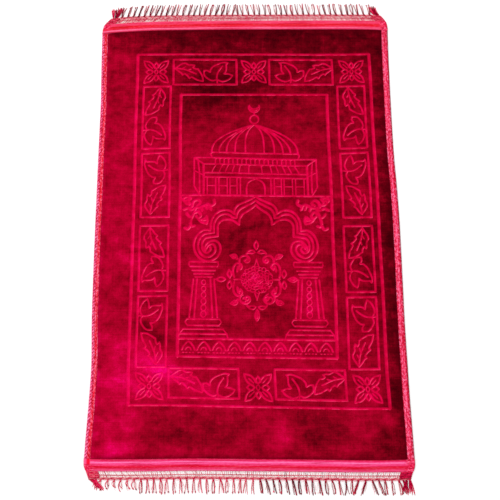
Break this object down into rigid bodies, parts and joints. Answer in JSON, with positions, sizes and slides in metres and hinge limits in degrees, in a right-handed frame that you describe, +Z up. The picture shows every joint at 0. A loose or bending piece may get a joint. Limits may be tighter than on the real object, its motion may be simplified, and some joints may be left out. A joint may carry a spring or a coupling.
{
  "type": "prayer rug",
  "caption": "Flat velvet prayer rug with a niche pattern pressed into its pile, striped bindings and end bands, open net strips and knotted fringes.",
  "frame": {"origin": "middle of the rug's bounding box, on the surface that the rug lies on", "axes": "+Z up out of the pile, +Y along the rug towards the dome's end, +X to the right when looking along +Y"},
  "size_m": [0.8054, 1.3074, 0.006],
  "materials": {
    "pile": "crimson velvet pile, brighter where it is pressed",
    "binding": "striped pink and red woven tape with a slight sheen",
    "heading": "striped pink and red woven band running on as pale open net",
    "fringe": "loose crimson and pale threads with knotted tips"
  },
  "bodies": {
    "root": {"pile_panel": "pile", "binding_left": "binding", "binding_right": "binding", "heading_near": "heading", "heading_far": "heading", "fringe_near": "fringe", "fringe_far": "fringe"}
  },
  "joints": []
}
